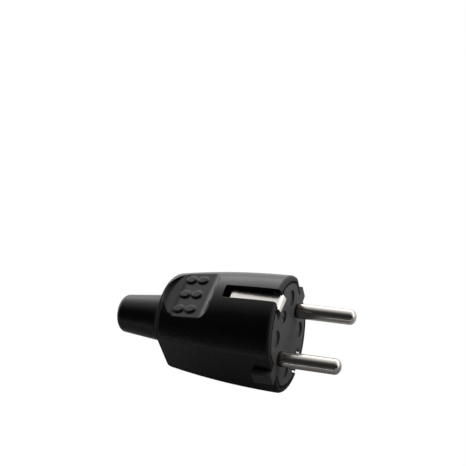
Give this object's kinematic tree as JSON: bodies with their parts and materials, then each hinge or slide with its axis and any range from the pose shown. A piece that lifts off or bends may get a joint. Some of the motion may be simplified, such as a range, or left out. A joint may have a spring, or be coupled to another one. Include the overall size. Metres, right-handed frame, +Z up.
{
  "type": "two-pin plug",
  "caption": "Round-pin earthed mains plug with a barrel-shaped black hood, flat sides, finger recesses and a tapered cord sleeve.",
  "frame": {"origin": "centre of the contact face, on the plug's axis", "axes": "+X along the pins towards their tips, +Y along the line of the two pins, +Z up through the earth strip on the screw's side"},
  "size_m": [0.076, 0.0356, 0.0356],
  "materials": {
    "hood_black": "satin moulded thermoplastic",
    "sleeve_black": "smooth soft rubber",
    "carrier_grey": "matte moulded thermoset",
    "cover_grey": "matte moulded plastic",
    "nickel": "polished nickel plate",
    "screw_steel": "zinc-plated steel",
    "screw_dark": "blackened steel",
    "plate_brass": "bare brass"
  },
  "bodies": {
    "root": {"hood": "hood_black", "cord_sleeve": "sleeve_black", "contact_carrier": "carrier_grey", "terminal_cover": "cover_grey", "line_pin": "nickel", "neutral_pin": "nickel", "earth_bracket": "nickel", "line_screw": "screw_steel", "neutral_screw": "screw_steel", "earth_screw": "screw_steel", "line_wire_plate": "plate_brass", "neutral_wire_plate": "plate_brass", "earth_clamp_plate": "plate_brass", "cord_clamp": "cover_grey", "clamp_screw_left": "screw_steel", "clamp_screw_right": "screw_steel", "cover_screw_left": "screw_steel", "cover_screw_right": "screw_steel", "housing_screw": "screw_dark", "housing_nut": "plate_brass"}
  },
  "joints": []
}
